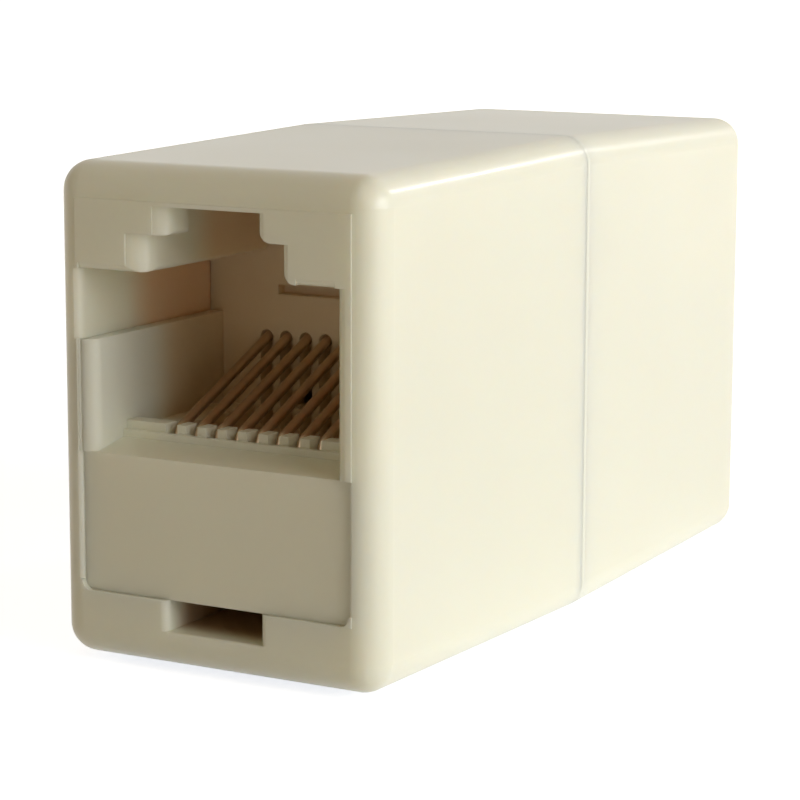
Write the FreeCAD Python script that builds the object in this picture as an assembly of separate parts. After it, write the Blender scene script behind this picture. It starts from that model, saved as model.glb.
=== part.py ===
import FreeCAD, Part
import math
import os

os.makedirs("parts", exist_ok=True)

# Inline coupler for eight-way modular plugs: two welded half shells, a contact
# carrier in each end, eight spring contacts per carrier and a link board between.
# Millimetres. X runs across the ports, the front port faces -Y, +Z is up, and the
# origin lies under the middle of the body, on the plane that it rests on.

# Body: widest and tallest at the weld, tapering to both ends
body_length = 38.2
end_width = 15.8
end_height = 21.3
weld_width = 16.1
weld_height = 22.0
edge_radius = 1.3

# Chamber inside each half shell
chamber_half_width = 6.57
chamber_height = 18.1
end_wall = 2.13
chamber_corner_radius = 0.35

# Spigot of the front shell in the rebate of the rear shell
spigot_length = 1.2
spigot_thickness = 0.55
spigot_clearance = 0.04

# Port opening through the end wall. Heights are measured from the body's axis.
cavity_half_width = 5.96
shoulder_height = 6.17
key_step_left = 3.2
key_step_right = 3.42
key_step_height = 7.78
key_notch_left = 2.1
key_notch_right = 2.27
key_notch_height = 8.98
key_corner_radius = 0.72
key_left_corner_radius = 0.2
latch_wall = 1.65
step_lead_in = 0.95
notch_lead_in = 0.7
key_right_lead_in = 0.35
cavity_lead_in = 0.45
shoulder_lead_in = 0.25
guide_depth = 9.6

# Lower window of the end wall, filled by the carrier's front panel
window_half_width = 6.6
window_bottom = -7.7
window_top = -1.65
window_corner_radius = 0.45
window_lead_in = 0.12
window_left_lead_in = 0.25

# Slot under the front panel
slot_half_width = 2.3
slot_bottom = -9.03
slot_lead_in = 0.33

# Raised field of the end face
field_half_width = 6.72
field_top = 9.16
field_rise = 0.06

# Contacts
contact_count = 8
contact_pitch = 1.02
wire_diameter = 0.46
wire_bend_radius = 0.55
wire_front_depth = 2.98
wire_crest_height = -0.9
wire_tip_depth = 10.42
wire_tip_height = 2.23
tail_row_high = -3.3
tail_row_low = -5.1
tail_beyond_board = 0.45

# Carrier
carrier_clearance = 0.015
panel_recess = 0.2
sill_depth = 2.42
sill_height = -1.27
comb_thickness = 0.85
comb_height = -0.62
comb_gap = 0.56
deck_height = -1.0
well_half_width = 4.25
well_floor = -2.35
carrier_back_wall_depth = 10.1
back_wall_thickness = 1.5
wall_groove_half_width = 2.95
wall_groove_bottom = 4.12
wall_groove_top = 4.55
wall_groove_depth = 0.5
wall_hole_left = -2.5
wall_hole_right = -1.65
wall_hole_bottom = -1.1
wall_hole_top = -0.2
rear_slot_width = 0.66
rear_slot_depth = 0.95
cheek_height = 3.15
cheek_inner_half_width = 5.9
cheek_nose_radius = 0.6
cheek_nose_depth = 0.06
deck_underside = -6.3
skid_thickness = 1.4
carrier_front_web = 1.3
bore_clearance = 0.03

# Link board between the carriers
board_thickness = 1.6
board_clearance = 0.1
board_hole_diameter = 0.62
board_gap = 1.1
leg_width = 1.5

# Derived places, all from the values above
axis_height = weld_height / 2
half_length = body_length / 2
chamber_half_height = chamber_height / 2
carrier_half_width = chamber_half_width - carrier_clearance
carrier_bottom = -chamber_half_height + carrier_clearance
carrier_length = half_length - board_thickness / 2
carrier_body_end = carrier_length - board_gap
comb_back_depth = sill_depth + comb_thickness
wire_radius = wire_diameter / 2
cut_over = 1.0


def box(x0, x1, y0, y1, z0, z1):
    """Box between two corners, with z measured from the body's axis."""
    return Part.makeBox(x1 - x0, y1 - y0, z1 - z0,
                        FreeCAD.Vector(x0, y0, z0 + axis_height))


def face_y(depth):
    """Y of a place this deep behind the front end face."""
    return depth - half_length


def port_box(x0, x1, depth0, depth1, z0, z1):
    """Box given by its depth behind the front end face."""
    return box(x0, x1, face_y(depth0), face_y(depth1), z0, z1)


def rounded_window(half_width, z0, z1, depth0, depth1, radius, square_top=False):
    """Port box whose edges along the depth are rounded, all four or the lower two."""
    block = port_box(-half_width, half_width, depth0, depth1, z0, z1)
    along_y = [e for e in block.Edges if is_along(e, 1)]
    if square_top:
        middle = (z0 + z1) / 2 + axis_height
        along_y = [e for e in along_y if e.BoundBox.ZMax < middle]
    return block.makeFillet(radius, along_y)


def is_along(edge, axis):
    """True for a straight edge along one axis: 0 for X, 1 for Y, 2 for Z."""
    ends = [v.Point for v in edge.Vertexes]
    if len(ends) != 2:
        return False
    run = ends[1] - ends[0]
    return all(abs(run[i]) < 1e-6 for i in range(3) if i != axis)


def upright_lead_in(x, outward, z0, z1, radius):
    """Cutter rounding an upright mouth edge; outward is the side of the material."""
    x_far = x + outward * radius
    block = port_box(min(x, x_far), max(x, x_far), -cut_over, radius, z0, z1)
    post = Part.makeCylinder(radius, z1 - z0,
                             FreeCAD.Vector(x_far, face_y(radius), z0 + axis_height))
    keep = port_box(min(x, x_far), max(x, x_far), 0, radius, z0, z1).common(post)
    return block.cut(keep)


def level_lead_in(z, outward, x0, x1, radius):
    """Cutter rounding a level mouth edge; outward is the side of the material."""
    z_far = z + outward * radius
    block = port_box(x0, x1, -cut_over, radius, min(z, z_far), max(z, z_far))
    post = Part.makeCylinder(radius, x1 - x0,
                             FreeCAD.Vector(x0, face_y(radius), z_far + axis_height),
                             FreeCAD.Vector(1, 0, 0))
    keep = port_box(x0, x1, 0, radius, min(z, z_far), max(z, z_far)).common(post)
    return block.cut(keep)


def section(width, height, y):
    """Corners of a rectangle across the body, centred on its axis."""
    w, h = width / 2, height / 2
    corners = [(-w, -h), (w, -h), (w, h), (-w, h)]
    return [FreeCAD.Vector(x, y, z + axis_height) for x, z in corners]


def drafted_block(front, back):
    """Solid with six flat faces, between two sections."""
    rings = [front, back]
    for i in range(len(front)):
        rings.append([front[i], front[i - 1], back[i - 1], back[i]])
    faces = [Part.Face(Part.makePolygon(ring + [ring[0]])) for ring in rings]
    block = Part.makeSolid(Part.makeShell(faces))
    if block.Volume < 0:
        block.reverse()
    return block


def outer_half():
    """Drafted and rounded outside of the front half, solid."""
    body = drafted_block(section(end_width, end_height, face_y(0)),
                         section(weld_width, weld_height, 0))
    soft = [e for e in body.Edges if e.BoundBox.YMin < -1e-6]
    return body.makeFillet(edge_radius, soft)


def key_opening():
    """Stepped opening for the plug's latch, with rounded inner corners."""
    step = port_box(-key_step_left, key_step_right, -cut_over,
                    end_wall + cut_over, shoulder_height - cut_over, key_step_height)
    notch = port_box(-key_notch_left, key_notch_right, -cut_over,
                     end_wall + cut_over, key_step_height - cut_over, key_notch_height)
    opening = step.fuse(notch)
    sides = ((-1, key_step_left, shoulder_height, key_step_height, step_lead_in),
             (1, key_step_right, shoulder_height, key_step_height, key_right_lead_in),
             (-1, key_notch_left, key_step_height, key_notch_height, notch_lead_in),
             (1, key_notch_right, key_step_height, key_notch_height, key_right_lead_in))
    for side, half, bottom, top, lead in sides:
        opening = opening.fuse(corner_relief(side, half, bottom, end_wall + cut_over))
        opening = opening.fuse(upright_lead_in(side * half, side, bottom, top, lead))
    return opening


def key_radius(side):
    """Radius of the corners under the key shoulders: tight at the left."""
    return key_corner_radius if side > 0 else key_left_corner_radius


def corner_relief(side, half, z, depth):
    """Cutter that rounds the convex corner under a key shoulder."""
    r = key_radius(side)
    x_far = side * (half + r)
    x0, x1 = min(side * half, x_far), max(side * half, x_far)
    block = port_box(x0, x1, -cut_over, depth, z - cut_over, z + r)
    rod = Part.makeCylinder(r, depth + cut_over,
                            FreeCAD.Vector(x_far, face_y(-cut_over), z + r + axis_height),
                            FreeCAD.Vector(0, 1, 0))
    below = port_box(x0, x1, -cut_over, depth, z - cut_over, z)
    keep = block.cut(below).common(rod)
    return block.cut(keep)


def front_shell_blank():
    """Front half shell without the joint at the weld."""
    shell = outer_half()
    field = port_box(-field_half_width, field_half_width, -field_rise, edge_radius,
                     window_bottom, field_top)
    shell = shell.fuse(field)
    chamber = rounded_window(chamber_half_width, -chamber_half_height,
                             chamber_half_height, end_wall, half_length + cut_over,
                             chamber_corner_radius)
    pocket = port_box(-key_step_left, key_step_right, latch_wall,
                      end_wall + cut_over, shoulder_height, chamber_half_height)
    shell = shell.cut(chamber).cut(pocket)
    shell = shell.fuse(guides())
    shell = shell.cut(port_opening())
    return shell.removeSplitter()


def guides():
    """Blocks under the roof that carry the latch opening's sides inward."""
    bars = None
    for side in (-1, 1):
        x0 = key_step_right if side > 0 else -key_step_left
        x1 = side * (chamber_half_width + spigot_clearance)
        bar = port_box(min(x0, x1), max(x0, x1), end_wall - cut_over / 2, guide_depth,
                       shoulder_height, chamber_half_height + spigot_clearance)
        inner = [e for e in bar.Edges if is_along(e, 1)
                 and abs(e.BoundBox.XMin - x0) < 1e-6
                 and abs(e.BoundBox.ZMin - shoulder_height - axis_height) < 1e-6]
        bar = bar.makeFillet(key_radius(side), inner)
        bars = bar if bars is None else bars.fuse(bar)
    return bars


def port_opening():
    """Everything cut out of the end wall."""
    through = end_wall + cut_over
    cutter = key_opening()
    cavity = port_box(-chamber_half_width, cavity_half_width, -cut_over, through,
                      window_top - cut_over, shoulder_height)
    window = rounded_window(window_half_width, window_bottom, window_top,
                            -cut_over, through, window_corner_radius, square_top=True)
    slot = port_box(-slot_half_width, slot_half_width, -cut_over, through,
                    slot_bottom, window_bottom + cut_over)
    for piece in (cavity, window, slot):
        cutter = cutter.fuse(piece)
    roundings = [
        upright_lead_in(-chamber_half_width, -1, cheek_height, shoulder_height,
                        cavity_lead_in),
        upright_lead_in(-chamber_half_width, -1, window_top, cheek_height,
                        window_lead_in),
        upright_lead_in(cavity_half_width, 1, window_top, shoulder_height,
                        cavity_lead_in),
        upright_lead_in(-window_half_width, -1, window_bottom + window_corner_radius,
                        window_top, window_left_lead_in),
        upright_lead_in(window_half_width, 1, window_bottom + window_corner_radius,
                        window_top, window_lead_in),
        upright_lead_in(-slot_half_width, -1, slot_bottom, window_bottom, slot_lead_in),
        upright_lead_in(slot_half_width, 1, slot_bottom, window_bottom, slot_lead_in),
        level_lead_in(slot_bottom, -1, -slot_half_width, slot_half_width,
                      window_lead_in),
        level_lead_in(shoulder_height, 1, -chamber_half_width,
                      -key_step_left - key_radius(-1), shoulder_lead_in),
        level_lead_in(shoulder_height, 1, key_step_right + key_radius(1),
                      cavity_half_width, shoulder_lead_in),
    ]
    for rounding in roundings:
        cutter = cutter.fuse(rounding)
    return cutter


def ring(y0, y1, outer_gap, inner_gap):
    """Square ring in the shell wall next to the chamber, between two Y planes."""
    w = chamber_half_width + spigot_thickness + outer_gap
    h = chamber_half_height + spigot_thickness + outer_gap
    outer = box(-w, w, y0, y1, -h, h)
    w = chamber_half_width + inner_gap
    h = chamber_half_height + inner_gap
    inner = box(-w, w, y0 - cut_over, y1 + cut_over, -h, h)
    return outer.cut(inner)


def turned(shape):
    """The same shape turned half a turn about the upright axis, for the rear end."""
    copy = shape.copy()
    copy.rotate(FreeCAD.Vector(0, 0, 0), FreeCAD.Vector(0, 0, 1), 180)
    return copy


def contact_x(index):
    """Place of one contact across the port, the first at the left."""
    return (index - (contact_count - 1) / 2) * contact_pitch


def tail_height(index):
    """The tails leave in two rows, so that front and rear ones miss each other."""
    return tail_row_high if index % 2 == 0 else tail_row_low


def contact_path(index):
    """Centre line of one contact: tail, run under the deck, crest, sprung arm."""
    x = contact_x(index)
    tail_end = half_length + board_thickness / 2 + tail_beyond_board
    corners = [(tail_end, tail_height(index)),
               (wire_front_depth, tail_height(index)),
               (wire_front_depth, wire_crest_height),
               (wire_tip_depth, wire_tip_height)]
    return [FreeCAD.Vector(x, face_y(d), z + axis_height) for d, z in corners]


def bent_wire(points, radius, bend):
    """Round wire along straight runs joined by bends of one radius."""
    edges = []
    start = points[0]
    for i in range(1, len(points) - 1):
        corner = points[i]
        back = (points[i - 1] - corner).normalize()
        ahead = (points[i + 1] - corner).normalize()
        half = back.getAngle(ahead) / 2
        reach = bend / math.tan(half)
        first = corner + back * reach
        last = corner + ahead * reach
        bisector = (back + ahead).normalize()
        middle = corner + bisector * (bend / math.sin(half) - bend)
        edges.append(Part.makeLine(start, first))
        edges.append(Part.Arc(first, middle, last).toShape())
        start = last
    edges.append(Part.makeLine(start, points[-1]))
    spine = Part.Wire(edges)
    run = (points[1] - points[0]).normalize()
    profile = Part.Wire([Part.makeCircle(radius, points[0], run)])
    return spine.makePipeShell([profile], True, False)


def carrier():
    """Moulded contact carrier of the front port."""
    w = carrier_half_width
    start = end_wall + carrier_clearance
    deck = port_box(-w, w, start, carrier_body_end, carrier_bottom, deck_height)
    wall_end = carrier_back_wall_depth + back_wall_thickness
    wall = port_box(-w, w, carrier_back_wall_depth, wall_end, deck_height - cut_over,
                    -carrier_bottom)
    body = deck.fuse(wall.cut(wall_openings(wall_end)))
    for side in (-1, 1):
        leg = port_box(min(side * w, side * (w - leg_width)),
                       max(side * w, side * (w - leg_width)),
                       carrier_body_end - cut_over, carrier_length,
                       carrier_bottom, deck_height)
        body = body.fuse(leg)
    outline = rounded_window(w, carrier_bottom, -carrier_bottom, start,
                             carrier_length, chamber_corner_radius)
    body = body.common(outline)
    body = body.fuse(front_panel()).fuse(sill_and_comb())
    body = body.fuse(cheek(-1, cheek_nose_depth))
    body = body.fuse(cheek(1, start))
    body = body.cut(underside_hollows())
    well = port_box(-well_half_width, well_half_width, comb_back_depth,
                    carrier_back_wall_depth, well_floor, deck_height + cut_over)
    body = body.cut(well)
    for index in range(contact_count):
        body = body.cut(contact_room(index))
    return body.removeSplitter()


def wall_openings(wall_end):
    """Groove across the back wall above the plug, and a hole low in that wall."""
    groove = port_box(-wall_groove_half_width, wall_groove_half_width,
                      carrier_back_wall_depth - cut_over,
                      carrier_back_wall_depth + wall_groove_depth,
                      wall_groove_bottom, wall_groove_top)
    hole = port_box(wall_hole_left, wall_hole_right, carrier_back_wall_depth - cut_over,
                    wall_end + cut_over, wall_hole_bottom, wall_hole_top)
    return groove.fuse(hole)


def front_panel():
    """Flat panel that fills the lower window."""
    return rounded_window(window_half_width - carrier_clearance,
                          window_bottom + carrier_clearance,
                          window_top - carrier_clearance, panel_recess,
                          end_wall + cut_over / 2, window_corner_radius,
                          square_top=True)


def sill_and_comb():
    """Sill sloping up from the panel's top edge, and the comb block behind it."""
    w = cheek_inner_half_width + carrier_clearance
    top = window_top - carrier_clearance
    profile = [(panel_recess, top),
               (sill_depth, sill_height),
               (sill_depth, comb_height),
               (comb_back_depth, comb_height),
               (comb_back_depth, top - cut_over),
               (panel_recess, top - cut_over)]
    points = [FreeCAD.Vector(-w, face_y(d), z + axis_height) for d, z in profile]
    face = Part.Face(Part.makePolygon(points + [points[0]]))
    return face.extrude(FreeCAD.Vector(2 * w, 0, 0))


def cheek(side, front_depth):
    """Side wall of the plug cavity, with a rounded nose."""
    x0 = side * cheek_inner_half_width
    x1 = side * carrier_half_width
    block = port_box(min(x0, x1), max(x0, x1), front_depth,
                     carrier_back_wall_depth + back_wall_thickness / 2,
                     window_top - carrier_clearance, cheek_height)
    nose = [e for e in block.Edges if is_along(e, 2)
            and abs(e.BoundBox.XMin - x0) < 1e-6
            and abs(e.BoundBox.YMin - face_y(front_depth)) < 1e-6]
    return block.makeFillet(cheek_nose_radius, nose)


def underside_hollows():
    """Hollows under the deck, open to the rear, and the tunnel behind the slot."""
    rear = carrier_length + cut_over
    tunnel = port_box(-slot_half_width, slot_half_width, end_wall - cut_over, rear,
                      carrier_bottom - cut_over, window_bottom)
    hollows = tunnel
    front = end_wall + carrier_clearance + carrier_front_web
    for side in (-1, 1):
        inner = side * (slot_half_width + skid_thickness)
        outer = side * (carrier_half_width - skid_thickness)
        pocket = port_box(min(inner, outer), max(inner, outer), front, rear,
                          carrier_bottom - cut_over, deck_underside)
        hollows = hollows.fuse(pocket)
    return hollows


def contact_room(index):
    """Bore for the tail, slot through the comb and slot in the back wall."""
    x = contact_x(index)
    z = tail_height(index)
    bore = Part.makeCylinder(wire_radius + bore_clearance, carrier_length,
                             FreeCAD.Vector(x, face_y(wire_front_depth), z + axis_height),
                             FreeCAD.Vector(0, 1, 0))
    half = comb_gap / 2
    slot = port_box(x - half, x + half, sill_depth - bore_clearance,
                    comb_back_depth + comb_gap, z - comb_gap, comb_height + cut_over)
    half = rear_slot_width / 2
    crown = wire_tip_height + wire_radius + bore_clearance
    end = carrier_back_wall_depth + rear_slot_depth
    groove = port_box(x - half, x + half, carrier_back_wall_depth - cut_over, end,
                      well_floor, crown - half)
    arch = Part.makeCylinder(half, end - carrier_back_wall_depth + cut_over,
                             FreeCAD.Vector(x, face_y(carrier_back_wall_depth - cut_over),
                                            crown - half + axis_height),
                             FreeCAD.Vector(0, 1, 0))
    return bore.fuse(slot).fuse(groove).fuse(arch)


def link_board():
    """Small circuit board across the weld, drilled for all the tails."""
    board = rounded_window(chamber_half_width - board_clearance,
                           board_clearance - chamber_half_height,
                           chamber_half_height - board_clearance,
                           half_length - board_thickness / 2,
                           half_length + board_thickness / 2, chamber_corner_radius)
    for index in range(contact_count):
        x = contact_x(index)
        for place in (x, -x):
            hole = Part.makeCylinder(
                board_hole_diameter / 2, board_thickness + 2 * cut_over,
                FreeCAD.Vector(place, -board_thickness / 2 - cut_over,
                               tail_height(index) + axis_height),
                FreeCAD.Vector(0, 1, 0))
            board = board.cut(hole)
    return board


def save(shape, node):
    """Write one node, and stop if it isn't one sound solid."""
    assert shape.isValid() and len(shape.Solids) == 1, node
    shape.exportStep("parts/" + node + ".step")
    print(node, round(shape.Volume, 2))


blank = front_shell_blank()
spigot = ring(-spigot_thickness, spigot_length, -spigot_clearance, 0)
rebate = ring(-cut_over, spigot_length + spigot_clearance, 0, -spigot_thickness)
save(blank.fuse(spigot).removeSplitter(), "front_shell")
save(turned(blank).cut(rebate), "rear_shell")

front_carrier = carrier()
save(front_carrier, "front_carrier")
save(turned(front_carrier), "rear_carrier")

for number in range(contact_count):
    contact = bent_wire(contact_path(number), wire_radius, wire_bend_radius)
    save(contact, "front_contact_%d" % (number + 1))
    save(turned(contact), "rear_contact_%d" % (number + 1))

save(link_board(), "link_board")
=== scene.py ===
# %% [markdown]
# # Finishing an inline coupler
#
# The coupler is a small ivory box with a modular socket in each end. Its shells,
# carriers, spring contacts and link board come from the imported model. This lesson
# gives them their finishes, adds the small things a mould and a solder pot leave
# behind, and sets up a plain studio around them.
#
# The imported model is a fixed frame: its meshes are never moved or changed. The box
# it fills is kept: the lamps are aimed at its middle and the weld is sized from it.

import math

import bpy
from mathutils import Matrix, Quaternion, Vector


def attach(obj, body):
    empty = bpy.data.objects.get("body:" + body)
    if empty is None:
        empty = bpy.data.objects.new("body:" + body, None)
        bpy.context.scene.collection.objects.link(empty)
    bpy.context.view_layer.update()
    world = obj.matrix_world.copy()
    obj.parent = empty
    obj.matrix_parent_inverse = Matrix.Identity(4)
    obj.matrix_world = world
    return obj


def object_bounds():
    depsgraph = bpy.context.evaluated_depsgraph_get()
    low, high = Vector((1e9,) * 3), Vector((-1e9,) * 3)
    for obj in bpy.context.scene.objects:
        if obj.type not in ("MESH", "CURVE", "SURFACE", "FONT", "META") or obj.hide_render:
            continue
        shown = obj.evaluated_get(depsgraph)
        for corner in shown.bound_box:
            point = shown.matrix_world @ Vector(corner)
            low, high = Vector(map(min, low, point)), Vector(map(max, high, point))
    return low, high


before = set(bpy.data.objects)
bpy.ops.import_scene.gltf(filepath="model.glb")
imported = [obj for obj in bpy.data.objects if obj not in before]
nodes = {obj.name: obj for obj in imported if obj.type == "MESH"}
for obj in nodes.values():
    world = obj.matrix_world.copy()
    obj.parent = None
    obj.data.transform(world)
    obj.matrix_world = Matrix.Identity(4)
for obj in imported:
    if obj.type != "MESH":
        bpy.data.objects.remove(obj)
cad_low, cad_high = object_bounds()
MM = 0.001
print("nodes:", len(nodes), "box in mm:",
      [round(side / MM, 2) for side in cad_high - cad_low])

# %% [markdown]
# ## The camera
#
# The coupler is seen from the front and its right side, from a little above, and
# from close by, so that the lines along its length run together quickly. A long
# lens close to a small object gives that look. The camera is placed by the point
# that it looks at and by its direction from that point.

# %% Place the camera
SENSOR = 36.0
LENS = 122.6
LOOK_AT = Vector((-1.733, 0.0, 9.04)) * MM
DISTANCE = 130.0 * MM
AZIMUTH, ELEVATION, ROLL = (math.radians(a) for a in (29.17, 10.07, 0.17))


def direction(azimuth, elevation):
    """Unit vector from the coupler; azimuth 0 is in front and 90 on the right."""
    level = math.cos(elevation)
    return Vector((math.sin(azimuth) * level, -math.cos(azimuth) * level,
                   math.sin(elevation)))


def aim(thing, place, target):
    """Put a lamp or a camera at a place and turn its -Z axis to the target."""
    thing.location = place
    thing.rotation_mode = "QUATERNION"
    thing.rotation_quaternion = (target - place).to_track_quat("-Z", "Y")


camera = bpy.data.objects.new("camera", bpy.data.cameras.new("camera"))
camera.data.sensor_width = SENSOR
camera.data.lens = LENS
camera.data.clip_start = DISTANCE / 100
camera.data.clip_end = DISTANCE * 1000
aim(camera, LOOK_AT + direction(AZIMUTH, ELEVATION) * DISTANCE, LOOK_AT)
camera.rotation_quaternion = camera.rotation_quaternion @ Quaternion((0, 0, 1), ROLL)
bpy.context.scene.collection.objects.link(camera)
bpy.context.scene.camera = camera
bpy.context.scene.view_settings.view_transform = "Standard"
print("camera at", [round(c / MM, 1) for c in camera.location], "mm")

# %% [markdown]
# ## The studio
#
# A product table is a pale sweep with large soft lamps round it. The brightest one
# stands at the right, so the side is the lightest face, the top comes next and the
# front is in soft shade. Each lamp is given by the level that it would bring to a
# white card facing it: the watts for that grow with the square of its distance.

# %% Hang the lamps
# name: azimuth and elevation in degrees, distance and size in metres, level, colour
LAMPS = {
    "key": (80, 12, 0.50, 0.45, 0.61, (1.0, 1.0, 1.0)),
    "side": (95, 8, 0.50, 0.45, 0.47, (1.0, 1.0, 1.0)),
    "high_front": (20, 60, 0.50, 0.30, 0.07, (1.0, 0.95, 0.86)),
    "glint": (156, 22.5, 0.50, 0.035, 0.06, (1.0, 1.0, 1.0)),
    "left": (-122, 6, 0.50, 0.30, 0.30, (1.0, 0.98, 0.94)),
    "back": (172, 6, 0.50, 0.30, 0.30, (1.0, 0.98, 0.94)),
}
HIDDEN_IN_GLOSS = ("left", "back")
AMBIENT_LEVEL = 0.15
AMBIENT_COLOUR = (1.0, 0.64, 0.14)
MIDDLE = (cad_low + cad_high) / 2


def hang_lamp(name, azimuth, elevation, distance, size, level, colour):
    """Round soft lamp aimed at the middle of the coupler."""
    lamp = bpy.data.lights.new(name, "AREA")
    lamp.shape = "DISK"
    lamp.size = size
    lamp.energy = level * (math.pi * distance) ** 2
    lamp.color = colour
    thing = bpy.data.objects.new(name, lamp)
    bpy.context.scene.collection.objects.link(thing)
    way = direction(math.radians(azimuth), math.radians(elevation))
    aim(thing, MIDDLE + way * distance, MIDDLE)
    thing.visible_glossy = name not in HIDDEN_IN_GLOSS
    print(name, "lamp:", round(lamp.energy, 2), "W")


for name, numbers in LAMPS.items():
    hang_lamp(name, *numbers)


# %% [markdown]
# ## Making nodes short to write
#
# Every finish below is a small node tree. Two helpers keep them readable: one adds
# a node with its settings, and one starts a shader group with named sockets.

# %% Node helpers
def node(tree, kind, inputs=None, **settings):
    """Add a node; inputs holds values, or the sockets to link from."""
    made = tree.nodes.new(kind)
    for name, value in settings.items():
        setattr(made, name, value)
    for name, value in (inputs or {}).items():
        if isinstance(value, bpy.types.NodeSocket):
            tree.links.new(value, made.inputs[name])
        else:
            made.inputs[name].default_value = value
    return made


def new_group(name, inputs, outputs):
    """Shader group; inputs are (name, kind, default), outputs are (name, kind)."""
    group = bpy.data.node_groups.new(name, "ShaderNodeTree")
    for label, kind, default in inputs:
        socket = group.interface.new_socket(label, in_out="INPUT",
                                            socket_type="NodeSocket" + kind)
        if default is not None:
            socket.default_value = default
    for label, kind in outputs:
        group.interface.new_socket(label, in_out="OUTPUT",
                                   socket_type="NodeSocket" + kind)
    return group, node(group, "NodeGroupInput"), node(group, "NodeGroupOutput")


# %% [markdown]
# ## The world, the floor and the shadow
#
# The background is plain white. Seen straight on, or mirrored in metal, the world
# is a flat white of strength 1; for all other rays it is the dim warm light that a
# room throws back. The floor is a pale matt sheet with a cool glow added for the
# camera, so it adds up to white while the coupler's shadow still shows.

# %% World and floor
FLOOR_SIZE = 3.0
FLOOR_COLOUR = (0.90, 0.90, 0.90, 1)
NEAR_GLOW, FAR_GLOW = (0.74, 0.76, 0.81, 1), (1, 1, 1, 1)
GLOW_FULL_FROM, GLOW_FULL_AT = 0.08, 0.40


def seen_ray(tree):
    """1 for rays that show a background: to the camera, or through a mirror."""
    path = node(tree, "ShaderNodeLightPath").outputs
    glossy = node(tree, "ShaderNodeMath", {0: path["Is Camera Ray"],
                                           1: path["Is Glossy Ray"]},
                  operation="MAXIMUM")
    return node(tree, "ShaderNodeMath", {0: glossy.outputs[0],
                                         1: path["Is Transmission Ray"]},
                operation="MAXIMUM").outputs[0]


world = bpy.data.worlds.new("studio")
world.use_nodes = True
world.node_tree.nodes.clear()
tree = world.node_tree
room = node(tree, "ShaderNodeBackground",
            {"Color": (*AMBIENT_COLOUR, 1), "Strength": AMBIENT_LEVEL})
white = node(tree, "ShaderNodeBackground", {"Color": (1, 1, 1, 1), "Strength": 1.0})
both = node(tree, "ShaderNodeMixShader", {0: seen_ray(tree), 1: room.outputs[0],
                                          2: white.outputs[0]})
node(tree, "ShaderNodeOutputWorld", {"Surface": both.outputs[0]})
bpy.context.scene.world = world

sheet = bpy.data.materials.new("pale_sheet")
sheet.use_nodes = True
sheet.node_tree.nodes.clear()
tree = sheet.node_tree
matt = node(tree, "ShaderNodeBsdfDiffuse", {"Color": FLOOR_COLOUR})
place = node(tree, "ShaderNodeTexCoord").outputs["Object"]
reach = node(tree, "ShaderNodeVectorMath", {0: place}, operation="LENGTH")
far = node(tree, "ShaderNodeMapRange",
           {"Value": reach.outputs["Value"], "From Min": GLOW_FULL_FROM,
            "From Max": GLOW_FULL_AT}, interpolation_type="SMOOTHSTEP")
glow_colour = node(tree, "ShaderNodeMix",
                   {"Factor": far.outputs["Result"], "A": NEAR_GLOW, "B": FAR_GLOW},
                   data_type="RGBA")
glow = node(tree, "ShaderNodeEmission", {"Color": glow_colour.outputs["Result"],
                                         "Strength": seen_ray(tree)})
total = node(tree, "ShaderNodeAddShader", {0: matt.outputs[0], 1: glow.outputs[0]})
node(tree, "ShaderNodeOutputMaterial", {"Surface": total.outputs[0]})

bpy.ops.mesh.primitive_plane_add(size=FLOOR_SIZE)
floor = bpy.context.object
floor.name = "floor"
floor.data.materials.append(sheet)
print("floor:", FLOOR_SIZE, "m square")

# %% [markdown]
# ## Moulded ivory plastic
#
# The shells are ivory ABS out of a polished mould. Such a surface isn't flat: it
# has a fine orange peel, faint streaks along the way that the mould opens, and a
# colour that drifts a little. Deep inside the ports the colour is darkened and
# warmed towards tan: painted shade, standing in for light that has been through
# and off many ivory walls. All of that goes into one group, which the carriers
# share with values of their own; the slot under the panel, so low and narrow, gets
# a darker brown painted shade at once. Light also travels a millimetre or so inside
# the plastic and comes out warmer, which the shader's subsurface settings do.

# %% The moulded skin and painted shade group
HALF_LENGTH, AXIS_HEIGHT = 19.1 * MM, 11.0 * MM
INSIDE_HALF_WIDTH, INSIDE_HALF_HEIGHT = 6.62 * MM, 9.1 * MM
# painted shade: deep in the ports the colour is multiplied by this warm dark tone
INSIDE_PAINTED_SHADE = (0.98, 0.77, 0.63, 1)
SLOT_HALF_WIDTH, SLOT_FLOOR, SLOT_TOP = 2.32 * MM, 1.9 * MM, 3.36 * MM
# painted shade: the slot under the panel is darkened to this brown, full a short way in
SLOT_PAINTED_SHADE = (0.62, 0.42, 0.30, 1)
SLOT_PAINTED_SHADE_FROM, SLOT_PAINTED_SHADE_AT = 0.35 * MM, 2.0 * MM
STREAK_STRETCH = (1.0, 0.04, 1.0)

# the last three inputs set the painted shade deep in the ports: its colour and the depths
# where it starts and is full
skin, given, result = new_group(
    "moulded_skin_and_painted_shade",
    [("Position", "Vector", None), ("Colour", "Color", (0.8, 0.8, 0.7, 1)),
     ("Deep Colour", "Color", (0.7, 0.7, 0.6, 1)), ("Drift Scale", "Float", 150.0),
     ("Peel Scale", "Float", 3000.0), ("Streak Scale", "Float", 1500.0),
     ("Streak Share", "Float", 0.3), ("Roughness Low", "Float", 0.25),
     ("Roughness High", "Float", 0.35), ("Inside Painted Shade", "Color", INSIDE_PAINTED_SHADE),
     ("Painted Shade From Depth", "Float", 3.3 * MM), ("Painted Shade Full Depth", "Float", 5.9 * MM)],
    [("Colour", "Color"), ("Roughness", "Float"), ("Height", "Float")])
position = given.outputs["Position"]


def calc(tree, operation, first, second=0.0):
    """One step of arithmetic."""
    return node(tree, "ShaderNodeMath", {0: first, 1: second},
                operation=operation).outputs[0]


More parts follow.
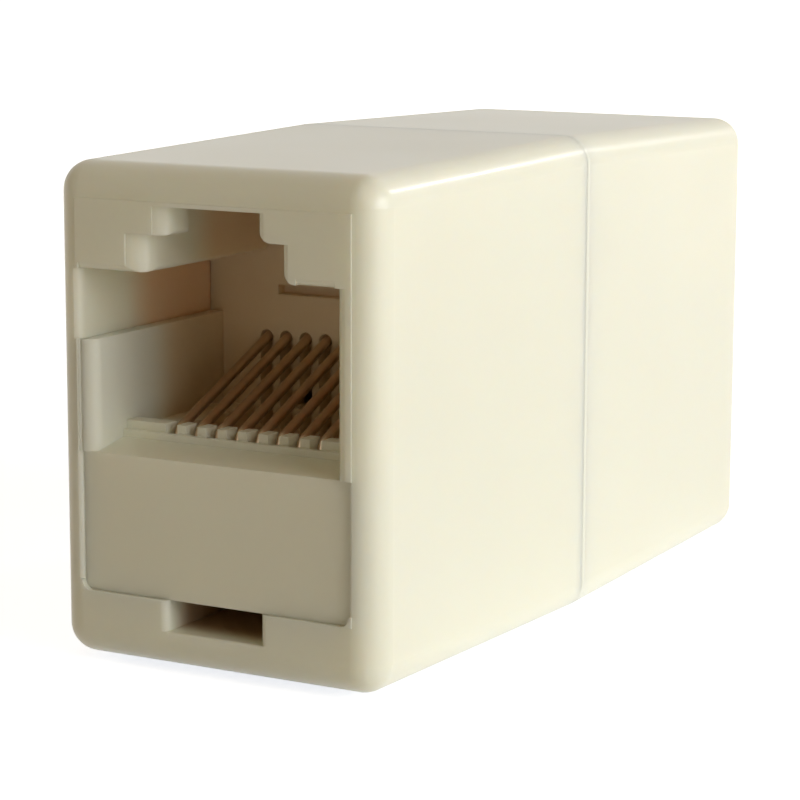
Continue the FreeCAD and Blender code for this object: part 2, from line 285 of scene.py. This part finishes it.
# how deep in the ports a point lies, counted from the end faces
axes = node(skin, "ShaderNodeSeparateXYZ", {"Vector": position}).outputs
across = calc(skin, "ABSOLUTE", axes["X"])
off_axis = calc(skin, "ABSOLUTE", calc(skin, "SUBTRACT", axes["Z"], AXIS_HEIGHT))
within = calc(skin, "MULTIPLY", calc(skin, "LESS_THAN", across, INSIDE_HALF_WIDTH),
              calc(skin, "LESS_THAN", off_axis, INSIDE_HALF_HEIGHT))
depth = calc(skin, "SUBTRACT", HALF_LENGTH, calc(skin, "ABSOLUTE", axes["Y"]))
deep_in = node(skin, "ShaderNodeMapRange",
               {"Value": depth, "From Min": given.outputs["Painted Shade From Depth"],
                "From Max": given.outputs["Painted Shade Full Depth"]},
               interpolation_type="SMOOTHSTEP").outputs["Result"]
# painted shade: deep in the ports the colour is darkened and warmed towards tan, standing
# in for light bounced off many ivory walls
painted_shade = node(skin, "ShaderNodeMix",
            {"Factor": calc(skin, "MULTIPLY", within, deep_in), "A": (1, 1, 1, 1),
             "B": given.outputs["Inside Painted Shade"]}, data_type="RGBA")
# painted shade in the slot under the panel, between its floor and its top: a dark brown
# that is full a short way in
slot_band = calc(skin, "MULTIPLY", calc(skin, "LESS_THAN", axes["Z"], SLOT_TOP),
                 calc(skin, "GREATER_THAN", axes["Z"], SLOT_FLOOR))
in_slot = calc(skin, "MULTIPLY", calc(skin, "LESS_THAN", across, SLOT_HALF_WIDTH),
               slot_band)
slot_depth = node(skin, "ShaderNodeMapRange",
                  {"Value": depth, "From Min": SLOT_PAINTED_SHADE_FROM,
                   "From Max": SLOT_PAINTED_SHADE_AT},
                  interpolation_type="SMOOTHSTEP").outputs["Result"]
painted_shade = node(skin, "ShaderNodeMix",
            {"Factor": calc(skin, "MULTIPLY", in_slot, slot_depth),
             "A": painted_shade.outputs["Result"], "B": SLOT_PAINTED_SHADE}, data_type="RGBA")
# slow drift of the tone, orange peel, and streaks along the way the mould opens
drift = node(skin, "ShaderNodeTexNoise",
             {"Vector": position, "Scale": given.outputs["Drift Scale"],
              "Detail": 1.0, "Roughness": 0.4})
peel = node(skin, "ShaderNodeTexNoise",
            {"Vector": position, "Scale": given.outputs["Peel Scale"], "Detail": 2.0})
drawn_out = node(skin, "ShaderNodeVectorMath",
                 {0: position, 1: STREAK_STRETCH}, operation="MULTIPLY")
streaks = node(skin, "ShaderNodeTexNoise",
               {"Vector": drawn_out.outputs[0],
                "Scale": given.outputs["Streak Scale"], "Detail": 2.0})
colour = node(skin, "ShaderNodeMix",
              {"Factor": drift.outputs["Fac"], "A": given.outputs["Colour"],
               "B": given.outputs["Deep Colour"]}, data_type="RGBA")
# the drifting colour multiplied by the painted shade of the ports and the slot
colour_with_painted_shade = node(skin, "ShaderNodeMix",
              {"Factor": 1.0, "A": colour.outputs["Result"],
               "B": painted_shade.outputs["Result"]}, data_type="RGBA", blend_type="MULTIPLY")
height = node(skin, "ShaderNodeMix",
              {"Factor": given.outputs["Streak Share"], "A": peel.outputs["Fac"],
               "B": streaks.outputs["Fac"]}, data_type="FLOAT")
rough = node(skin, "ShaderNodeMapRange",
             {"Value": drift.outputs["Fac"], "From Min": 0.0, "From Max": 1.0,
              "To Min": given.outputs["Roughness Low"],
              "To Max": given.outputs["Roughness High"]})
for label, socket in (("Colour", colour_with_painted_shade.outputs["Result"]),
                      ("Roughness", rough.outputs["Result"]),
                      ("Height", height.outputs["Result"])):
    skin.links.new(socket, result.inputs[label])
print("group:", skin.name)

# %% [markdown]
# ## Two plastics from one recipe
#
# The shells and the carriers are different mouldings: the carriers are greyer and
# duller. One function builds both. A bevel node softens the shading where two
# faces meet, as a real mould's edges are never quite sharp. It is left out at the
# weld, where the two shells have melted into one face. The shells also have a thin
# coat of polish, which draws a sharp line of light along their long edges.

# %% Shell and carrier materials
EDGE_SOFTNESS = 0.05 * MM
WELD_ZONE = 0.3 * MM
GLOW_DEPTH = 2.0 * MM
GLOW_REACH = (1.0, 0.84, 0.66)
POLISH_ROUGHNESS = 0.12
PLASTIC_IOR = 1.5
# the last entry of each finish: the depths where the painted shade inside the ports starts
# and is full
SHELL_FINISH = {"roughness": (0.29, 0.37), "peel": 0.002 * MM, "gloss": 0.45,
                "polish": 0.10, "painted_shade_depths": (3.1 * MM, 5.7 * MM)}
CARRIER_FINISH = {"roughness": (0.38, 0.5), "peel": 0.004 * MM, "gloss": 0.4,
                  "polish": 0.0, "painted_shade_depths": (4.0 * MM, 6.6 * MM)}


def moulded_plastic(name, colour, deep, glow, roughness, peel, gloss, polish,
                    painted_shade_depths):
    """Ivory plastic: two tones, the share of inner glow, and the moulding's finish.

    The finish is a range of roughness, the height of the peel, the gloss, the
    share of polish, and the depths where the painted shade inside the ports starts
    and is full.
    """
    made = bpy.data.materials.new(name)
    made.use_nodes = True
    made.node_tree.nodes.clear()
    tree = made.node_tree
    place = node(tree, "ShaderNodeTexCoord").outputs["Object"]
    surface = node(tree, "ShaderNodeGroup", node_tree=skin)
    for label, value in (("Colour", (*colour, 1)), ("Deep Colour", (*deep, 1)),
                         ("Roughness Low", roughness[0]),
                         ("Roughness High", roughness[1]),
                         ("Painted Shade From Depth", painted_shade_depths[0]),
                         ("Painted Shade Full Depth", painted_shade_depths[1])):
        surface.inputs[label].default_value = value
    tree.links.new(place, surface.inputs["Position"])
    soft_edge = node(tree, "ShaderNodeBevel", {"Radius": EDGE_SOFTNESS}, samples=4)
    along = node(tree, "ShaderNodeSeparateXYZ", {"Vector": place}).outputs["Y"]
    from_weld = node(tree, "ShaderNodeMath", {0: along}, operation="ABSOLUTE")
    at_weld = node(tree, "ShaderNodeMath", {0: from_weld.outputs[0],
                                            1: WELD_ZONE}, operation="LESS_THAN")
    true_face = node(tree, "ShaderNodeNewGeometry").outputs["Normal"]
    facing = node(tree, "ShaderNodeMix",
                  {"Factor": at_weld.outputs[0], "A": soft_edge.outputs["Normal"],
                   "B": true_face}, data_type="VECTOR")
    bump = node(tree, "ShaderNodeBump",
                {"Height": surface.outputs["Height"], "Distance": peel,
                 "Strength": 1.0, "Normal": facing.outputs["Result"]})
    shader = node(tree, "ShaderNodeBsdfPrincipled",
                  {"Base Color": surface.outputs["Colour"],
                   "Roughness": surface.outputs["Roughness"],
                   "Normal": bump.outputs["Normal"],
                   "Subsurface Weight": glow, "Subsurface Radius": GLOW_REACH,
                   "Subsurface Scale": GLOW_DEPTH, "Specular IOR Level": gloss,
                   "IOR": PLASTIC_IOR, "Coat Weight": polish,
                   "Coat Roughness": POLISH_ROUGHNESS})
    node(tree, "ShaderNodeOutputMaterial", {"Surface": shader.outputs[0]})
    print("material:", name)
    return made


ivory = moulded_plastic("ivory_shell", (0.80, 0.81, 0.69), (0.78, 0.785, 0.665),
                        glow=0.60, **SHELL_FINISH)
dull_ivory = moulded_plastic("dull_ivory_carrier", (0.83, 0.84, 0.72),
                             (0.80, 0.80, 0.68), glow=0.50, **CARRIER_FINISH)

# %% [markdown]
# ## Gold-flashed contacts
#
# The spring contacts are thin wire with a flash of gold. Drawing leaves fine marks
# along the wire, and the plating is a little uneven, so the colour wanders between
# bright gold and the browner metal under it.

# %% Contact wire material
wire = bpy.data.materials.new("gold_flashed_wire")
wire.use_nodes = True
wire.node_tree.nodes.clear()
tree = wire.node_tree
place = node(tree, "ShaderNodeTexCoord").outputs["Object"]
patches = node(tree, "ShaderNodeTexNoise", {"Vector": place, "Scale": 900.0,
                                            "Detail": 3.0})
tone = node(tree, "ShaderNodeMix",
            {"Factor": patches.outputs["Fac"], "A": (0.66, 0.50, 0.33, 1),
             "B": (0.44, 0.31, 0.19, 1)}, data_type="RGBA")
polish = node(tree, "ShaderNodeMapRange",
              {"Value": patches.outputs["Fac"], "From Min": 0.3, "From Max": 0.7,
               "To Min": 0.29, "To Max": 0.40})
marks = node(tree, "ShaderNodeTexNoise", {"Vector": place, "Scale": 9000.0})
bump = node(tree, "ShaderNodeBump", {"Height": marks.outputs["Fac"],
                                     "Distance": 0.003 * MM})
shader = node(tree, "ShaderNodeBsdfPrincipled",
              {"Base Color": tone.outputs["Result"], "Metallic": 1.0,
               "Roughness": polish.outputs["Result"],
               "Normal": bump.outputs["Normal"]})
node(tree, "ShaderNodeOutputMaterial", {"Surface": shader.outputs[0]})
print("material:", wire.name)

# %% [markdown]
# ## The link board
#
# The board that joins the two sets of contacts stands across the weld, behind the
# back walls of the carriers. It is laminate under a green varnish, with the weave
# of the glass cloth showing faintly through.

# %% Board material
laminate = bpy.data.materials.new("varnished_laminate")
laminate.use_nodes = True
laminate.node_tree.nodes.clear()
tree = laminate.node_tree
place = node(tree, "ShaderNodeTexCoord").outputs["Object"]
weave_x = node(tree, "ShaderNodeTexWave", {"Vector": place, "Scale": 400.0,
                                           "Distortion": 0.4}, bands_direction="X")
weave_z = node(tree, "ShaderNodeTexWave", {"Vector": place, "Scale": 400.0,
                                           "Distortion": 0.4}, bands_direction="Z")
cloth = node(tree, "ShaderNodeMath", {0: weave_x.outputs["Fac"],
                                      1: weave_z.outputs["Fac"]}, operation="MULTIPLY")
tone = node(tree, "ShaderNodeMix",
            {"Factor": cloth.outputs[0], "A": (0.045, 0.16, 0.08, 1),
             "B": (0.09, 0.24, 0.12, 1)}, data_type="RGBA")
varnish = node(tree, "ShaderNodeMapRange",
               {"Value": cloth.outputs[0], "To Min": 0.32, "To Max": 0.45})
bump = node(tree, "ShaderNodeBump", {"Height": cloth.outputs[0],
                                     "Distance": 0.01 * MM})
shader = node(tree, "ShaderNodeBsdfPrincipled",
              {"Base Color": tone.outputs["Result"],
               "Roughness": varnish.outputs["Result"],
               "Normal": bump.outputs["Normal"]})
node(tree, "ShaderNodeOutputMaterial", {"Surface": shader.outputs[0]})
print("material:", laminate.name)

# %% [markdown]
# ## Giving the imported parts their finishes
#
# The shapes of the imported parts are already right, so each keeps its mesh and only
# its material slots change.

# %% Assign materials
FINISHES = {"shell": ivory, "carrier": dull_ivory, "contact": wire, "board": laminate}
for name, part in nodes.items():
    finish = next(f for word, f in FINISHES.items() if word in name)
    for index in range(len(part.data.materials)):
        part.data.materials[index] = finish
print("finished:", ", ".join(sorted(nodes)))

# %% [markdown]
# ## Pieces grown by Geometry Nodes
#
# What repeats, or follows a path, is grown by a node tree from a few points. The
# helper starts such a tree with named inputs, and the next one runs a tree on a
# mesh and keeps what it makes as a plain mesh, so no modifier is left behind.

# %% Growing helpers
def new_growth(name, inputs):
    """Geometry tree; inputs are (name, kind, default), after the geometry itself."""
    tree = bpy.data.node_groups.new(name, "GeometryNodeTree")
    tree.interface.new_socket("Geometry", in_out="INPUT",
                              socket_type="NodeSocketGeometry")
    for label, kind, default in inputs:
        socket = tree.interface.new_socket(label, in_out="INPUT",
                                           socket_type="NodeSocket" + kind)
        if default is not None:
            socket.default_value = default
    tree.interface.new_socket("Geometry", in_out="OUTPUT",
                              socket_type="NodeSocketGeometry")
    return tree, node(tree, "NodeGroupInput")


def end_growth(tree, geometry, material):
    """Last nodes of a tree: smooth faces, plain geometry, one material."""
    smooth = node(tree, "GeometryNodeSetShadeSmooth", {"Geometry": geometry})
    plain = node(tree, "GeometryNodeRealizeInstances",
                 {"Geometry": smooth.outputs["Geometry"]})
    dressed = node(tree, "GeometryNodeSetMaterial",
                   {"Geometry": plain.outputs["Geometry"], "Material": material})
    node(tree, "NodeGroupOutput", {"Geometry": dressed.outputs["Geometry"]})


def grow(name, tree, points, edges):
    """Run a tree on these points; the piece rides on the body."""
    seed_mesh = bpy.data.meshes.new(name + "_seed")
    seed_mesh.from_pydata(points, edges, [])
    seed = bpy.data.objects.new(name + "_seed", seed_mesh)
    bpy.context.scene.collection.objects.link(seed)
    seed.modifiers.new("growth", "NODES").node_group = tree
    graph = bpy.context.evaluated_depsgraph_get()
    grown = bpy.data.meshes.new_from_object(seed.evaluated_get(graph))
    bpy.data.objects.remove(seed)
    piece = bpy.data.objects.new(name, grown)
    bpy.context.scene.collection.objects.link(piece)
    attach(piece, "root")
    print("piece:", name, len(grown.polygons), "faces")
    return piece


# %% [markdown]
# ## The weld
#
# The two halves were pressed together while ultrasound melted the joint. What came
# out of it was wiped flat: a film a few thousandths of a millimetre high that closes
# the seam all the way round. Its outline is drawn flat, given a lens-shaped
# section, and tipped up into place. The film is too thin to glow from inside, so
# its finish has no glow, and a tone that matches the shells on either side.

# %% Grow the weld band
WELD_HALF_WIDTH, WELD_HALF_HEIGHT = cad_high.x, cad_high.z / 2
WELD_CORNER = 1.3 * MM
CORNER_STEPS, SECTION_POINTS = 12, 32
BAND_SUNK = 0.003 * MM

wiped = moulded_plastic("wiped_weld", (0.76, 0.78, 0.68), (0.74, 0.755, 0.655),
                        glow=0.0, **SHELL_FINISH)

tree, given = new_growth("weld_band", [
    ("Half Height", "Float", 0.008 * MM), ("Half Width", "Float", 0.15 * MM),
    ("Lift", "Float", WELD_HALF_HEIGHT), ("Steps", "Int", 480)])
ring = node(tree, "GeometryNodeMeshToCurve", {"Mesh": given.outputs["Geometry"]})
fine = node(tree, "GeometryNodeResampleCurve",
            {"Curve": ring.outputs["Curve"], "Count": given.outputs["Steps"]})
level = node(tree, "GeometryNodeSetCurveNormal", {"Curve": fine.outputs["Curve"]},
             mode="Z_UP")
circle = node(tree, "GeometryNodeCurvePrimitiveCircle",
              {"Resolution": SECTION_POINTS, "Radius": 1.0}, mode="RADIUS")
lens = node(tree, "ShaderNodeCombineXYZ", {"X": given.outputs["Half Height"],
                                           "Y": given.outputs["Half Width"], "Z": 1.0})
section = node(tree, "GeometryNodeTransform", {"Geometry": circle.outputs["Curve"],
                                               "Scale": lens.outputs[0]})
band = node(tree, "GeometryNodeCurveToMesh",
            {"Curve": level.outputs["Curve"],
             "Profile Curve": section.outputs["Geometry"]})
lift = node(tree, "ShaderNodeCombineXYZ", {"Z": given.outputs["Lift"]})
upright = node(tree, "GeometryNodeTransform",
               {"Geometry": band.outputs["Mesh"], "Translation": lift.outputs[0],
                "Rotation": (math.pi / 2, 0.0, 0.0)})
end_growth(tree, upright.outputs["Geometry"], wiped)


def weld_outline():
    """The body's girth at the weld, drawn flat and a little under the surface."""
    points = []
    for quarter, (x, y) in enumerate(((1, 1), (-1, 1), (-1, -1), (1, -1))):
        middle = Vector((x * (WELD_HALF_WIDTH - WELD_CORNER),
                         y * (WELD_HALF_HEIGHT - WELD_CORNER), 0.0))
        for step in range(CORNER_STEPS + 1):
            angle = math.radians(90) * (quarter + step / CORNER_STEPS)
            points.append(middle + Vector((math.cos(angle), math.sin(angle), 0.0))
                          * (WELD_CORNER - BAND_SUNK))
    return points


outline = weld_outline()
weld_band = grow("weld_band", tree, outline,
                 [(i, (i + 1) % len(outline)) for i in range(len(outline))])
print("weld band across in mm:", [round(side / MM, 3) for side in weld_band.dimensions])

# %% [markdown]
# ## Solder joints
#
# Each contact's tail goes through the link board and is soldered there. A joint is
# a small ring of solder round the tail, with a hollow slope, let into the face of
# the board. Its profile is drawn once, swept round a circle as thick as the tail,
# and set on every tail with a little variety in size. The joints are out of sight
# in the closed coupler.

# %% Solder material
solder = bpy.data.materials.new("bright_solder")
solder.use_nodes = True
solder.node_tree.nodes.clear()
tree = solder.node_tree
place = node(tree, "ShaderNodeTexCoord").outputs["Object"]
frost = node(tree, "ShaderNodeTexNoise", {"Vector": place, "Scale": 5000.0,
                                          "Detail": 3.0})
sheen = node(tree, "ShaderNodeMapRange",
             {"Value": frost.outputs["Fac"], "To Min": 0.30, "To Max": 0.48})
grain = node(tree, "ShaderNodeBump", {"Height": frost.outputs["Fac"],
                                      "Distance": 0.004 * MM})
shader = node(tree, "ShaderNodeBsdfPrincipled",
              {"Base Color": (0.66, 0.66, 0.65, 1), "Metallic": 1.0,
               "Roughness": sheen.outputs["Result"],
               "Normal": grain.outputs["Normal"]})
node(tree, "ShaderNodeOutputMaterial", {"Surface": shader.outputs[0]})
print("material:", solder.name)

# %% Grow the solder joints
CONTACTS, PITCH = 8, 1.02 * MM
TAIL_ROWS = (-3.3 * MM, -5.1 * MM)
BOARD_FACE = 0.8 * MM
SLOPE_POINTS, RING_POINTS = 8, 28
SMALLEST, LARGEST = 0.92, 1.08

tree, given = new_growth("solder_joint", [
    ("Tail Radius", "Float", 0.215 * MM), ("Depth", "Float", 0.26 * MM),
    ("Ring Width", "Float", 0.34 * MM), ("Hollow", "Float", 0.07 * MM),
    ("Seed", "Int", 11)])
root = node(tree, "ShaderNodeCombineXYZ", {"Y": given.outputs["Depth"]})
belly = node(tree, "ShaderNodeCombineXYZ", {"X": given.outputs["Hollow"],
                                            "Y": given.outputs["Hollow"]})
rim = node(tree, "ShaderNodeCombineXYZ", {"X": given.outputs["Ring Width"]})
slope = node(tree, "GeometryNodeCurveQuadraticBezier",
             {"Resolution": SLOPE_POINTS, "Start": root.outputs[0],
              "Middle": belly.outputs[0], "End": rim.outputs[0]})
around = node(tree, "GeometryNodeCurvePrimitiveCircle",
              {"Resolution": RING_POINTS, "Radius": given.outputs["Tail Radius"]},
              mode="RADIUS")
joint = node(tree, "GeometryNodeCurveToMesh",
             {"Curve": around.outputs["Curve"], "Profile Curve": slope.outputs[0]})
variety = node(tree, "FunctionNodeRandomValue",
               {"Min": SMALLEST, "Max": LARGEST, "Seed": given.outputs["Seed"]},
               data_type="FLOAT")
size = next(out for out in variety.outputs if out.enabled)
side = node(tree, "ShaderNodeSeparateXYZ",
            {"Vector": node(tree, "GeometryNodeInputPosition").outputs[0]})
sign = node(tree, "ShaderNodeMath", {0: side.outputs["Y"]}, operation="SIGN")
tilt = node(tree, "ShaderNodeMath", {0: sign.outputs[0], 1: -math.pi / 2},
            operation="MULTIPLY")
turn = node(tree, "ShaderNodeCombineXYZ", {"X": tilt.outputs[0]})
joints = node(tree, "GeometryNodeInstanceOnPoints",
              {"Points": given.outputs["Geometry"], "Instance": joint.outputs["Mesh"],
               "Rotation": turn.outputs[0], "Scale": size})
end_growth(tree, joints.outputs["Instances"], solder)

tails = []
for index in range(CONTACTS):
    across = (index - (CONTACTS - 1) / 2) * PITCH
    up = AXIS_HEIGHT + TAIL_ROWS[index % 2]
    tails += [Vector((across, BOARD_FACE, up)), Vector((-across, -BOARD_FACE, up))]
grow("solder_joints", tree, tails, [])
